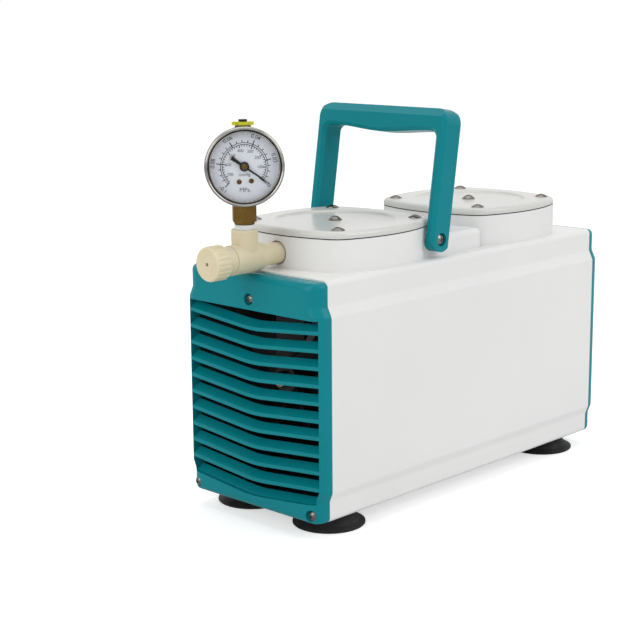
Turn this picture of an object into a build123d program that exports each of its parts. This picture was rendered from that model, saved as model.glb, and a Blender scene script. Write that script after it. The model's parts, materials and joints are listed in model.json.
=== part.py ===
from build123d import *
import math
import os

# Twin-head diaphragm vacuum pump, in millimetres.
# Frame: origin at the centre of the housing's underside, +X from the gauge end
# to the rear end, +Y away from the plain side, +Z up. The feet reach below z = 0.

# ---- fits and clearances -------------------------------------------------
runningFit = 0.05        # radial, a turning shaft in its bore
movingGap = 0.3          # between pieces that move past each other
looseFit = 0.15          # radial, a piece dropped into a recess
threadFit = 0.05         # radial, a screw in its hole

# ---- housing -------------------------------------------------------------
bodyLength = 310.0
bodyHeight = 170.0
footHalfWidth = 65.5     # half width below the lower step
waistHalfWidth = 68.2    # half width between the steps
shoulderHalfWidth = 64.6 # half width above the upper step
lowerStepZ = 15.8
lowerStepRise = 6.3
upperStepZ = bodyHeight - 24.4
upperStepRise = 7.1
wall = 3.0
floorThickness = 3.0
restHalfLength = 92.0    # central land of the underside, inside a shallow groove
restHalfWidth = 34.0
restGroove = 3.0
restGrooveDepth = 1.0
edgeRound = 4.0          # long edges of the housing
stepRound = 5.0          # where a step meets the flat side

# ---- pump heads ----------------------------------------------------------
headSpacing = 156.6
headHalfSquare = 48.9    # centre to corner, along X and along Y
headBulge = 11.0         # how far each side bows out
headCornerRound = 16.0
headRise = 22.7          # towers above the housing's top
headSeatZ = bodyHeight + headRise
gasketThickness = 0.8
coverThickness = 4.9
coverEdgeRound = 3.2
dishRadius = 44.6
dishDepth = 1.3
headScrewInset = 7.6     # from the corner, along X and along Y
headScrewRadius = 3.0
headScrewHead = 5.3
headScrewDome = 2.1
centreScrewDome = 3.2
headScrewDepth = 14.0    # thread below the tower's top
centreScrewDepth = 2.6

# ---- diaphragm pump stage ------------------------------------------------
plateRadius = 46.0
plateThickness = 10.0
diaphragmThickness = 2.0
ledgeThickness = 5.0
chamberRadius = 38.0
valveRecessRadius = 36.0
valveWeb = 3.0           # web of the valve plate over the chamber
valveRadius = 7.0
valveOffset = 15.0
valvePortRadius = 1.6
flapThickness = 0.8
clampRadius = 27.0
clampThickness = 2.2
crankThrow = 3.0

# ---- connecting rods -----------------------------------------------------
flangeGap = 0.2          # rod flange below the diaphragm
rodFlangeRadius = 26.0
rodFlangeThickness = 4.0
rodStemWidth = 20.0
rodStemDepth = 8.0
rodEyeWall = 5.0
rodWidth = 12.0
rodBearingInner = 12.5
rodBearingOuter = 23.5

# ---- motor ---------------------------------------------------------------
shaftZ = 88.0
shaftRadius = 6.0
shaftEnd = 5.0           # shaft beyond the fans
statorRadius = 48.0
rotorRadius = 27.0
airGap = 0.3
slotCount = 12
slotWidth = 6.0
slotDepth = 11.0
windingLength = 11.0
windingRadius = 38.5
windingBore = 30.0
shieldLength = 25.0
shieldGap = 7.0          # end shield to the eccentric's weight
shieldWall = 3.0
motorBearingRadius = 16.0
motorBearingWidth = 10.0
tieBoltRadius = 2.0
tieBoltCircle = 44.5
eccentricHub = 5.0
counterweightRadius = 32.0
fanInset = 36.0          # fan's inner face from the housing's end
fanWidth = 14.0
fanRadius = 46.0
fanHubRadius = 12.0
fanBlades = 7
cradleHalfWidth = 33.0
cradleSheet = 3.0
saddleX = 28.0
capacitorLength = 60.0
capacitorDepth = 20.0
capacitorHeight = 32.0

# ---- grille covers -------------------------------------------------------
coverDepth = 12.1
coverDrop = 1.0          # cover's top below the housing's top
coverSideRound = 11.5
coverTopRound = 5.0
roundSteps = 6           # sections through the rounding
railWidth = 3.9          # beside the opening
grilleTop = bodyHeight - 26.2
grilleWall = 3.0
bladeCount = 11
bladePitch = 12.24
bladeTopGap = 9.4        # opening's top to the highest blade's lower edge, at its ends
bladeDrop = 6.2          # how far each blade dips at mid-width
bladeRecess = 3.2        # lips behind the front of the cover
bladeReach = 6.5         # how far each blade runs back
bladeRise = 4.0
bladeLip = 2.6
bladeBend = 110.0        # radius of the dip's rounded vertex
grilleScrewRadius = 2.0
grilleScrewHead = 3.6
grilleCounterbore = 4.3
grilleCounterDepth = 2.1
grilleScrewDome = 1.7
grilleScrewTopZ = bodyHeight - 18.8
grilleScrewLowZ = 6.2
grilleScrewLowY = 58.1

# ---- feet ----------------------------------------------------------------
footHeight = 12.0
footRadius = 26.2
footTopRadius = 15.0
footInset = 27.0         # foot centres from the housing's ends
footSpacingY = 78.0
footScrewRadius = 2.2

# ---- carrying handle -----------------------------------------------------
pivotFromHead = 45.7     # along X, from the front head's centre
pivotRise = 13.5         # above the housing's top
handleLean = 8.8         # degrees, towards the rear, as it stands
handleReach = 94.0       # pivot to the top of the grip
padProud = 4.9           # pad faces outside the head's corners
armThickness = 8.8
armWidth = 21.0
footLift = 1.5           # centre of each arm's round end above the pivot
armBevel = 2.6
gripDepth = 16.5
gripBelly = 3.0
gripBevel = 5.8
handleCorner = 11.0
handleInnerCorner = 5.0
pivotScrewRadius = 2.5
pivotScrewHead = 4.4
pivotScrewDome = 1.8
pivotHeadRecess = 2.1
pivotScrewDepth = 8.0
padRise = 14.8           # above the housing's top
padEndFromHead = 51.3    # along X, to the rear head's centre
padRound = 4.5
bossRadius = 8.5

# ---- tee, regulator and gauge -------------------------------------------
teeReach = 31.1          # tower's face to the axis of the branch
teeRise = 10.5           # above the housing's top
teeRadius = 10.4
branchRadius = 9.35
branchHeight = 20.4      # above the tee's axis
spigotRadius = 7.7
spigotLength = 11.0      # outside the tower
teeNeckRadius = 9.7
teeArm = 22.8            # branch's axis to the regulator's seat
portRecess = 4.0
portGap = 0.9            # dark ring round the spigot
knobRadius = 12.1
knobLength = 12.4
knobRound = 2.2
knobFlutes = 20
fluteRadius = 1.4
fluteDepth = 0.5
stemRadius = 3.0
stemPitch = 1.25
knobTurns = 2.0
gaugeRise = 63.9         # dial's centre above the tee's axis
gaugeTurn = -39.0        # degrees, heading of the dial's normal
pointerRest = -34.5      # degrees, heading of the resting pointer on the dial
gaugeRadius = 27.2
caseRadius = 25.6
caseDepth = 24.0
caseWall = 1.2
bezelDepth = 6.0
lensThickness = 1.5
dialRadius = 24.2
dialThickness = 0.8
pointerLength = 19.0
pointerTail = 8.5
socketFlats = 16.0       # hexagon of the brass socket, across flats
socketNeckRadius = 4.8
socketTopRise = 16.7     # above the branch's top
socketHexRise = 5.5
collarRadius = 7.2
tapeGap = 3.3            # sealing tape shows between collar and branch
ventRadius = 3.0
ventHeight = 6.4
leverSpan = 15.0

# ---- ports, gland and switch ---------------------------------------------
nozzleRise = 11.0        # above the housing's top
nozzleRadius = 4.5
barbRoot = 3.8           # between the ridges of the hose tail
nozzleBore = 2.8
nozzleLength = 24.0
nozzleFlats = 14.0
silencerRadius = 8.5
panelDrop = 12.5         # rear panel's fittings below the housing's top
switchY = -36.0
glandY = 36.0
switchWidth = 21.0
switchHeight = 15.0
rockerWidth = 16.0
rockerHeight = 10.0
rockerGap = 0.8
rockerAngle = 10.0
rockerPin = 1.2          # radius of the pins the rocker turns on
rockerSet = 0.6          # pins behind the cover's face
glandFlats = 17.0
glandBore = 3.6

headX = headSpacing / 2
padFace = headHalfSquare + padProud
handleHalfSpan = padFace + movingGap + armThickness
pivotX = -headX + pivotFromHead
pivotZ = bodyHeight + pivotRise
padTopZ = bodyHeight + padRise
padEndX = headX - padEndFromHead
grilleHalfWidth = waistHalfWidth - railWidth
bladeLipZ = grilleTop - bladeTopGap
panelZ = bodyHeight - panelDrop
nozzleZ = bodyHeight + nozzleRise
footSpacingX = bodyLength - 2 * footInset
statorLength = 2 * (headX - rodWidth / 2 - movingGap - eccentricHub - shieldGap - shieldLength)
motorEnd = statorLength / 2 + shieldLength
fanX = bodyLength / 2 - fanInset
shaftHalfLength = fanX + fanWidth + shaftEnd
coverTopZ = headSeatZ + gasketThickness + coverThickness
plateZ = headSeatZ - plateThickness
ledgeZ = plateZ - diaphragmThickness
screwOffset = headHalfSquare - headScrewInset
bodyEnd = bodyLength / 2
innerTop = bodyHeight - wall
towerSide = headHalfSquare + headBulge
towerFace = -headX - towerSide
teeX = towerFace - teeReach
teeZ = bodyHeight + teeRise
teeEndX = teeX - teeArm
branchTopZ = teeZ + branchHeight
gaugeZ = teeZ + gaugeRise
collarZ = branchTopZ + tapeGap
socketHexZ = branchTopZ + socketHexRise
socketTopZ = branchTopZ + socketTopRise
rodLength = ledgeZ - flangeGap - shaftZ
middle = (Align.CENTER, Align.CENTER, Align.CENTER)
rising = (Align.CENTER, Align.CENTER, Align.MIN)


def rodX(x0, x1, radius, y=0.0, z=0.0):
    """Round bar along X."""
    return Pos(x0, y, z) * Rot(0, 90, 0) * Cylinder(radius, x1 - x0, align=rising)


def rodY(y0, y1, radius, x=0.0, z=0.0):
    """Round bar along Y."""
    return Pos(x, y0, z) * Rot(-90, 0, 0) * Cylinder(radius, y1 - y0, align=rising)


def rodZ(z0, z1, radius, x=0.0, y=0.0):
    """Round bar along Z."""
    return Pos(x, y, z0) * Cylinder(radius, z1 - z0, align=rising)


def block(x0, x1, y0, y1, z0, z1):
    """Box between two corners."""
    return Pos((x0 + x1) / 2, (y0 + y1) / 2, (z0 + z1) / 2) * Box(x1 - x0, y1 - y0, z1 - z0)


def hexX(x0, x1, flats, y=0.0, z=0.0):
    """Hexagonal bar along X."""
    outline = RegularPolygon(flats / 2, 6, major_radius=False)
    return extrude(Plane.YZ.offset(x0) * Pos(y, z) * outline, amount=x1 - x0)


def hexY(y0, y1, flats, x=0.0, z=0.0):
    """Hexagonal bar along Y."""
    outline = RegularPolygon(flats / 2, 6, major_radius=False)
    plane = Plane(origin=(x, y0, z), x_dir=(1, 0, 0), z_dir=(0, 1, 0))
    return extrude(plane * outline, amount=y1 - y0)


def endOutline(inset=0.0):
    """End view of the housing: stepped sides, narrow foot and shoulder."""
    foot = footHalfWidth - inset
    waist = waistHalfWidth - inset
    shoulder = shoulderHalfWidth - inset
    side = [
        (foot, inset),
        (foot, lowerStepZ),
        (waist, lowerStepZ + lowerStepRise),
        (waist, upperStepZ),
        (shoulder, upperStepZ + upperStepRise),
        (shoulder, bodyHeight - inset),
    ]
    points = side + [(-y, z) for y, z in reversed(side)]
    outline = make_face(Polyline(*points, close=True))
    steps = outline.vertices().filter_by(lambda v: inset + 1 < v.Y < bodyHeight - inset - 1)
    outline = fillet(steps, stepRound)
    ends = outline.vertices().filter_by(lambda v: v.Y < inset + 1 or v.Y > bodyHeight - inset - 1)
    return fillet(ends, max(edgeRound - inset, 1.0))


def endPrism(x0, x1, inset=0.0):
    """The housing's end outline, run along X."""
    return extrude(Plane.YZ.offset(x0) * endOutline(inset), amount=x1 - x0)


def headOutline(inset=0.0):
    """Plan of a pump head: a square with bowed sides and rounded corners."""
    half = headHalfSquare - inset
    bow = half + headBulge
    corners = [(half, -half), (half, half), (-half, half), (-half, -half)]
    middles = [(bow, 0), (0, bow), (-bow, 0), (0, -bow)]
    sides = []
    for index in range(4):
        start = corners[index]
        end = corners[(index + 1) % 4]
        sides.append(ThreePointArc(start, middles[index], end))
    outline = make_face(sides)
    return fillet(outline.vertices(), headCornerRound)


def headCorners(x):
    """Places of a head's four corner screws."""
    signs = [(-1, -1), (1, -1), (1, 1), (-1, 1)]
    return [(x + sx * screwOffset, sy * screwOffset) for sx, sy in signs]


def footPlaces():
    """Places of the four feet."""
    signs = [(-1, -1), (-1, 1), (1, -1), (1, 1)]
    return [(sx * footSpacingX / 2, sy * footSpacingY / 2) for sx, sy in signs]


def grillePlaces():
    """Places (Y, Z) of the screws that hold a grille cover."""
    return [(0.0, grilleScrewTopZ), (-grilleScrewLowY, grilleScrewLowZ), (grilleScrewLowY, grilleScrewLowZ)]


def tower(x):
    """Raised seat of one pump head."""
    return extrude(Pos(x, 0, innerTop) * headOutline(), amount=headSeatZ - innerTop)


def towerHollow(x):
    """What is bored out of a tower: plate recess, chamber and screw holes."""
    hollow = rodZ(plateZ, headSeatZ + 1, plateRadius + looseFit, x)
    hollow += rodZ(ledgeZ, plateZ + 1, plateRadius + looseFit, x)
    hollow += rodZ(innerTop - wall - 1, ledgeZ + 1, chamberRadius, x)
    for sx, sy in headCorners(x):
        hollow += rodZ(headSeatZ - headScrewDepth - 1, headSeatZ + 1, headScrewRadius + threadFit, sx, sy)
    return hollow


def handlePads():
    """Bridge between the towers and the round bosses that carry the handle."""
    bridge = block(-headX + headHalfSquare - 6, padEndX, -padFace, padFace, innerTop, padTopZ)
    uprights = bridge.edges().filter_by(Axis.Z).group_by(Axis.X)[-1]
    bridge = fillet(uprights, padRound)
    bridge = fillet(bridge.faces().sort_by(Axis.Z)[-1].edges(), padRound - 0.5)
    pads = bridge - block(-12, padEndX - wall - 6, -padFace + wall, padFace - wall, innerTop - 1, padTopZ - wall)
    for side in (-1, 1):
        inner = side * (padFace - 10)
        outer = side * padFace
        low, high = min(inner, outer), max(inner, outer)
        pads += rodY(low, high, bossRadius, pivotX, pivotZ)
        pads += block(pivotX - bossRadius, pivotX + bossRadius, low, high, innerTop, pivotZ)
    return pads


def undersideGroove():
    """Shallow moulded groove round the central land of the underside."""
    length = restHalfLength + restGroove
    width = restHalfWidth + restGroove
    groove = block(-length, length, -width, width, -1, restGrooveDepth)
    return groove - block(-restHalfLength, restHalfLength, -restHalfWidth, restHalfWidth, -2, restGrooveDepth + 1)


def mainHousing():
    """White moulded housing: a stepped tube with two towers, open at both ends."""
    shell = endPrism(-bodyEnd, bodyEnd)
    shell += tower(-headX) + tower(headX) + handlePads()
    shell -= endPrism(-bodyEnd - 1, bodyEnd + 1, wall)
    for x, y in footPlaces():
        shell += rodZ(0, 10, 6.5, x, y)
        shell -= rodZ(-1, 11, footScrewRadius + threadFit, x, y)
    for y, z in grillePlaces():
        for end in (-1, 1):
            outer = end * bodyEnd
            inner = end * (bodyEnd - 16)
            low, high = min(inner, outer), max(inner, outer)
            if y == 0:
                shell += block(low, high, -5, 5, z - 5, innerTop + 0.5)
            else:
                shell += rodX(low, high, 5.5, y, z)
            shell -= rodX(low - 1, high + 1, grilleScrewRadius + threadFit, y, z)
    shell -= undersideGroove()
    for x in (-headX, headX):
        shell -= towerHollow(x)
    for side in (-1, 1):
        tip = side * (padFace - pivotScrewDepth)
        face = side * (padFace + 1)
        shell -= rodY(min(tip, face), max(tip, face), pivotScrewRadius + threadFit, pivotX, pivotZ)
    shell -= rodX(towerFace - 1, towerFace + portRecess, spigotRadius + portGap, 0, teeZ)
    shell -= rodX(towerFace, towerFace + 10, spigotRadius - 1 + threadFit, 0, teeZ)
    shell -= rodZ(teeZ, headSeatZ + 1, 2.0, towerFace + 8, 0)
    for x in (-headX, headX):
        shell -= rodY(towerSide - 9, towerSide + 1, nozzleRadius + 1 + threadFit, x, nozzleZ)
        shell -= rodZ(nozzleZ, headSeatZ + 1, 2.0, x, towerSide - 6)
    return shell


def bladeSection():
    """Section of one louvre blade, front lip at the left, back edge high."""
    points = [
        (0, 0),
        (0, bladeLip),
        (bladeReach, bladeLip + bladeRise),
        (bladeReach, bladeRise),
        (1.2, 0),
    ]
    return points


def blade(index):
    """One louvre blade: it slopes down and outward and dips at mid-width."""
    front = -bodyEnd - coverDepth + bladeRecess
    end = grilleHalfWidth + 1.5
    lipZ = bladeLipZ - index * bladePitch
    path = FilletPolyline((front, -end, lipZ), (front, 0, lipZ - bladeDrop), (front, end, lipZ), radius=bladeBend)
    points = [(front + px, -end, lipZ + pz) for px, pz in bladeSection()]
    section = make_face(Polyline(*points, close=True))
    return sweep(section, path=path)


def grilleOpening():
    """Outline of the louvred opening, with its dipped sill."""
    sill = bladeLipZ - (bladeCount - 1) * bladePitch + bladeLip
    low = lowerStepZ + 1.5
    top = grilleTop
    half = grilleHalfWidth
    narrow = half - waistHalfWidth + footHalfWidth
    dip = FilletPolyline((-narrow, sill), (0, sill - bladeDrop), (narrow, sill), radius=bladeBend)
    rest = Polyline(
        (narrow, sill),
        (narrow, low),
        (half, low + lowerStepRise),
        (half, top),
        (-half, top),
        (-half, low + lowerStepRise),
        (-narrow, low),
        (-narrow, sill),
    )
    return make_face(dip.edges() + rest.edges())


def drawnIn(radius, depth):
    """How far a rounding of this radius draws the outline in, at a depth behind the front."""
    left = max(radius - depth, 0.0)
    return radius - math.sqrt(radius**2 - left**2)


def coverOutline(depth):
    """End view of a grille cover at a depth behind its front."""
    side = drawnIn(coverSideRound, depth)
    rise = drawnIn(coverTopRound, depth)
    top = bodyHeight - coverDrop - rise
    half = [
        (footHalfWidth - side, rise),
        (footHalfWidth - side, lowerStepZ),
        (waistHalfWidth - side, lowerStepZ + lowerStepRise),
        (waistHalfWidth - side, upperStepZ),
        (shoulderHalfWidth - side, upperStepZ + upperStepRise),
        (shoulderHalfWidth - side, top),
    ]
    points = half + [(-y, z) for y, z in reversed(half)]
    outline = make_face(Polyline(*points, close=True))
    steps = outline.vertices().filter_by(lambda v: rise + 1 < v.Y < top - 1)
    outline = fillet(steps, stepRound)
    ends = outline.vertices().filter_by(lambda v: v.Y < rise + 1 or v.Y > top - 1)
    return fillet(ends, edgeRound)


def roundedCover():
    """Outside of a grille cover, with deep side roundings and a smaller one above."""
    front = -bodyEnd - coverDepth
    angles = [math.pi / 2 * step / roundSteps for step in range(roundSteps + 1)]
    depths = [coverSideRound * (1 - math.cos(angle)) for angle in angles] + [coverDepth]
    return loft([Plane.YZ.offset(front + depth) * coverOutline(depth) for depth in depths])


def grilleCover():
    """Teal louvred cover that closes the gauge end of the housing."""
    front = -bodyEnd - coverDepth
    back = -bodyEnd
    cover = block(front - 1, back + 1, -waistHalfWidth - 2, waistHalfWidth + 2, -2, bodyHeight + 2)
    cover -= extrude(Plane.YZ.offset(front - 2) * grilleOpening(), amount=coverDepth + 4)
    hollow = shoulderHalfWidth - coverSideRound + wall
    cover -= block(front + grilleWall, back + 2, -hollow, hollow, grilleTop + 2.5, bodyHeight - wall - 2)
    keep = block(front, back + 1, -waistHalfWidth, waistHalfWidth, 1, grilleTop + 1)
    for index in range(bladeCount):
        cover += blade(index) & keep
    for y, z in grillePlaces():
        cover += rodX(front + 1, back, grilleCounterbore + 1.5, y, z)
        cover -= rodX(front - 2, back + 2, grilleScrewRadius + threadFit, y, z)
        cover -= rodX(front - 2, front + grilleCounterDepth, grilleCounterbore, y, z)
    return cover & roundedCover()


def rearCover(cover):
    """The same cover, turned round, with cut-outs for the switch and the gland."""
    cover = Rot(0, 0, 180) * cover
    back = bodyEnd - 1
    front = bodyEnd + coverDepth + 1
    cover -= block(back, front, switchY - 9.5, switchY + 9.5, panelZ - 6.5, panelZ + 6.5)
    cover -= rodX(back, front, 6.2, glandY, panelZ)
    return cover


def crossedHead(radius, height, cross):
    """Domed screw head with a cross recess, standing on z = 0."""
    dome = Sphere((radius**2 + height**2) / (2 * height))
    dome = Pos(0, 0, height - (radius**2 + height**2) / (2 * height)) * dome
    head = dome & Pos(0, 0, 0) * Cylinder(radius, height + 1, align=rising)
    slot = Pos(0, 0, height - cross * 0.55) * Box(cross * 2, cross * 0.42, cross, align=rising)
    return head - slot - Rot(0, 0, 90) * slot


def headScrews():
    """Ten domed screws that hold the two head covers."""
    screws = []
    for x in (-headX, headX):
        for sx, sy in headCorners(x):
            shank = rodZ(headSeatZ - headScrewDepth, coverTopZ, headScrewRadius, sx, sy)
            screws.append(shank + Pos(sx, sy, coverTopZ) * crossedHead(headScrewHead, headScrewDome, 2.4))
        seat = coverTopZ - dishDepth
        shank = rodZ(headSeatZ - centreScrewDepth, seat, headScrewRadius, x)
        screws.append(shank + Pos(x, 0, seat) * crossedHead(headScrewHead, centreScrewDome, 2.4))
    return Compound(children=screws)


def headCover(x):
    """White cover of one head, with a shallow round dish."""
    plate = extrude(Pos(x, 0, headSeatZ + gasketThickness) * headOutline(), amount=coverThickness)
    plate = fillet(plate.faces().sort_by(Axis.Z)[-1].edges(), coverEdgeRound)
    dish = Pos(x, 0, coverTopZ - dishDepth) * Cone(dishRadius - 1.6, dishRadius, dishDepth, align=rising)
    plate -= dish
    for sx, sy in headCorners(x) + [(x, 0)]:
        plate -= rodZ(headSeatZ, coverTopZ + 1, headScrewRadius + threadFit, sx, sy)
    under = headSeatZ + gasketThickness
    for side in (-1, 1):
        plate -= rodZ(under - 1, under + 1.4, valveRadius + 2, x + side * valveOffset)
    return plate


def headGasket(x):
    """Thin black gasket between cover and tower."""
    sheet = extrude(Pos(x, 0, headSeatZ) * headOutline(0.2), amount=gasketThickness)
    for sx, sy in headCorners(x) + [(x, 0)]:
        sheet -= rodZ(headSeatZ - 1, coverTopZ, headScrewRadius + threadFit, sx, sy)
    for side in (-1, 1):
        sheet -= rodZ(headSeatZ - 1, coverTopZ, valveRadius + 2, x + side * valveOffset)
    sheet -= rodZ(headSeatZ - 1, coverTopZ, 2.0, x, towerSide - 6)
    return sheet


def valvePlate(x):
    """Aluminium plate over the diaphragm, with its inlet and outlet ports."""
    plate = rodZ(plateZ, headSeatZ, plateRadius, x)
    plate -= rodZ(plateZ - 1, headSeatZ - valveWeb, valveRecessRadius, x)
    plate -= rodZ(plateZ - 1, headSeatZ + 1, headScrewRadius + threadFit, x)
    for side in (-1, 1):
        for turn in range(6):
            angle = math.radians(60 * turn)
            px = x + side * valveOffset + 3.6 * math.cos(angle)
            plate -= rodZ(plateZ, headSeatZ + 1, valvePortRadius, px, 3.6 * math.sin(angle))
    return plate


def valveFlaps():
    """Inlet and outlet flaps of both heads, four rubber discs."""
    flaps = []
    for x in (-headX, headX):
        under = headSeatZ - valveWeb - flapThickness
        flaps.append(rodZ(under, under + flapThickness, valveRadius, x - valveOffset))
        flaps.append(rodZ(headSeatZ, headSeatZ + flapThickness, valveRadius, x + valveOffset))
    return Compound(children=flaps)


def diaphragm(x, lift):
    """Rubber diaphragm, clamped at its rim and lifted or lowered at its middle."""
    low = ledgeZ
    high = plateZ
    flat = clampRadius + 1.0
    rim = chamberRadius - 2.5
    centre = 5.0 + movingGap
    section = [
        (centre, low + lift),
        (flat, low + lift),
        (rim, low),
        (plateRadius, low),
        (plateRadius, high),
        (rim, high),
        (flat, high + lift),
        (centre, high + lift),
    ]
    profile = make_face(Polyline(*[(r, 0, z) for r, z in section], close=True))
    return Pos(x, 0, 0) * revolve(profile, axis=Axis.Z)


def diaphragmClamp(x, lift):
    """Aluminium disc that clamps the diaphragm's middle, with its stud."""
    top = plateZ + lift + movingGap
    disc = rodZ(top, top + clampThickness, clampRadius, x)
    disc = fillet(disc.edges().sort_by(Axis.Z)[-1], 0.8)
    return disc + rodZ(ledgeZ + lift - movingGap - 9, top, 5.0, x)


def connectingRod(x, lift):
    """Rod: flange under the diaphragm, stem, and an eye round the crank bearing."""
    centre = shaftZ + lift
    top = centre + rodLength
    flange = rodZ(top - rodFlangeThickness, top, rodFlangeRadius, x)
    flange += Pos(x, 0, top - rodFlangeThickness - 7) * Cone(9, 15, 7, align=rising)
    stem = block(x - rodStemDepth / 2, x + rodStemDepth / 2, -rodStemWidth / 2, rodStemWidth / 2,
                 centre + rodBearingOuter + 1, top - rodFlangeThickness)
    eye = rodX(x - rodWidth / 2, x + rodWidth / 2, rodBearingOuter + rodEyeWall, 0, centre)
    rod = flange + stem + eye
    rod -= rodX(x - rodWidth, x + rodWidth, rodBearingOuter, 0, centre)
    rod -= rodZ(top - 9.2, top + 1, 5.0 + threadFit, x)
    for side in (-1, 1):
        pocket = block(x - 10, x - 1.6, -6, 6, centre + 38, top - 18)
        rod -= pocket if side < 0 else mirror(pocket, Plane.YZ.offset(x))
    return rod


def rodBearing(x, lift):
    """Sealed ball bearing in the rod's eye."""
    centre = shaftZ + lift
    ring = rodX(x - rodWidth / 2, x + rodWidth / 2, rodBearingOuter, 0, centre)
    ring -= rodX(x - rodWidth, x + rodWidth, rodBearingInner + runningFit, 0, centre)
    for side in (-1, 1):
        face = x + side * (rodWidth / 2 - 0.4)
        low, high = min(face, face + side), max(face, face + side)
        groove = rodX(low, high, rodBearingOuter - 3, 0, centre) - rodX(low, high, rodBearingInner + 3, 0, centre)
        ring -= groove
    return ring


def eccentric(x, lift):
    """Eccentric that drives a rod, with its counterweight on the motor's side."""
    centre = shaftZ + lift
    inward = -1 if x > 0 else 1
    start = x - inward * rodWidth / 2
    end = x + inward * (rodWidth / 2 + movingGap)
    back = end + inward * eccentricHub
    boss = rodX(min(start, end), max(start, end), rodBearingInner, 0, centre)
    low, high = min(end, back), max(end, back)
    weight = rodX(low, high, counterweightRadius, 0, shaftZ)
    up = block(low - 1, high + 1, -50, 50, shaftZ + 8, shaftZ + 50)
    down = block(low - 1, high + 1, -50, 50, shaftZ - 50, shaftZ - 8)
    weight -= up if lift > 0 else down
    hub = rodX(low, high, 17.0, 0, shaftZ)
    return boss + weight + hub - rodX(x - 30, x + 30, shaftRadius, 0, shaftZ)


def motorShaft():
    """Through shaft that carries rotor, eccentrics and fans."""
    shaft = rodX(-shaftHalfLength, shaftHalfLength, shaftRadius, 0, shaftZ)
    return chamfer(shaft.edges().filter_by(GeomType.CIRCLE), 0.8)


def rotorCore():
    """Squirrel-cage rotor with its two end rings."""
    half = statorLength / 2
    core = rodX(-half, half, rotorRadius, 0, shaftZ)
    for end in (-1, 1):
        face = end * half
        ring = rodX(min(face, face + end * 5), max(face, face + end * 5), rotorRadius - 2, 0, shaftZ)
        core += ring - rodX(-half - 6, half + 6, rotorRadius - 9, 0, shaftZ)
    return core - rodX(-half - 6, half + 6, shaftRadius, 0, shaftZ)


def statorCore():
    """Laminated stator with open slots round its bore."""
    half = statorLength / 2
    core = rodX(-half, half, statorRadius, 0, shaftZ)
    core -= rodX(-half - 1, half + 1, rotorRadius + airGap, 0, shaftZ)
    for index in range(slotCount):
        angle = 360.0 / slotCount * index + 15
        slot = block(-half - 1, half + 1, -slotWidth / 2, slotWidth / 2, rotorRadius + 2, rotorRadius + 2 + slotDepth)
        mouth = block(-half - 1, half + 1, -1.2, 1.2, rotorRadius - 1, rotorRadius + 3)
        core -= Pos(0, 0, shaftZ) * Rot(angle, 0, 0) * (slot + mouth)
    return core - tieBoltHoles(half + 1)


def tieBoltPlaces():
    """Places (Y, Z) of the four bolts through the motor."""
    reach = tieBoltCircle / math.sqrt(2)
    return [(sy * reach, shaftZ + sz * reach) for sy in (-1, 1) for sz in (-1, 1)]


def tieBoltHoles(half):
    """Holes for the four bolts through the motor."""
    holes = Part()
    for y, z in tieBoltPlaces():
        holes += rodX(-half, half, tieBoltRadius + threadFit, y, z)
    return holes


def statorWindings():
    """Wound coil heads at both ends of the stator."""
    coils = []
    for end in (-1, 1):
        face = end * statorLength / 2
        tip = face + end * windingLength
        coil = rodX(min(face, tip), max(face, tip), windingRadius, 0, shaftZ)
        coil -= rodX(-motorEnd, motorEnd, windingBore, 0, shaftZ)
        coils.append(fillet(coil.faces().sort_by(Axis.X)[0 if end < 0 else -1].edges(), 3.0))
    return Compound(children=coils)


def endShield(end):
    """Cast end shield: rim on the stator, vented wall and bearing seat."""
    face = statorLength / 2
    tip = motorEnd
    shield = rodX(face, tip, statorRadius, 0, shaftZ)
    shield -= rodX(face - 1, tip - shieldWall, statorRadius - shieldWall, 0, shaftZ)
    seat = tip - motorBearingWidth
    shield += rodX(seat - 2, tip, motorBearingRadius + shieldWall, 0, shaftZ)
    shield -= rodX(seat, tip + 1, motorBearingRadius, 0, shaftZ)
    shield -= rodX(seat - 3, seat + 1, shaftRadius + 2, 0, shaftZ)
    for y, z in tieBoltPlaces():
        ear = rodX(face, tip, tieBoltRadius + 3, y, z)
        shield += ear & rodX(face, tip, statorRadius, 0, shaftZ)
        shield -= rodX(face - 1, tip + 1, tieBoltRadius + threadFit, y, z)
    for index in range(4):
        window = block(tip - shieldWall - 1, tip + 1, -7, 7, motorBearingRadius + 6, statorRadius - 6)
        shield -= Pos(0, 0, shaftZ) * Rot(90.0 * index, 0, 0) * window
    return shield if end > 0 else mirror(shield, Plane.YZ)


def shaftBearings():
    """The motor's two ball bearings."""
    bearings = []
    tip = motorEnd
    for end in (-1, 1):
        low = min(end * tip, end * (tip - motorBearingWidth))
        ring = rodX(low, low + motorBearingWidth, motorBearingRadius, 0, shaftZ)
        bearings.append(ring - rodX(low - 1, low + motorBearingWidth + 1, shaftRadius + runningFit, 0, shaftZ))
    return Compound(children=bearings)


def tieBolts():
    """Four long bolts that hold the motor together."""
    bolts = []
    half = motorEnd
    for y, z in tieBoltPlaces():
        bolt = rodX(-half, half + 3, tieBoltRadius, y, z)
        bolt += hexX(-half - 2.6, -half, 6.4, y, z)
        bolt += hexX(half, half + 2.6, 6.4, y, z)
        bolts.append(bolt)
    return Compound(children=bolts)


def motorCradle():
    """Folded steel cradle between the housing's floor and the stator."""
    half = statorLength / 2 + 4
    cradle = block(-half, half, -cradleHalfWidth, cradleHalfWidth, floorThickness, floorThickness + cradleSheet)
    for side in (-1, 1):
        x = side * saddleX
        cradle += block(x - cradleSheet / 2, x + cradleSheet / 2, -cradleHalfWidth, cradleHalfWidth,
                        floorThickness, shaftZ - 20)
    cradle -= rodX(-half - 1, half + 1, statorRadius, 0, shaftZ)
    return cradle


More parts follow.
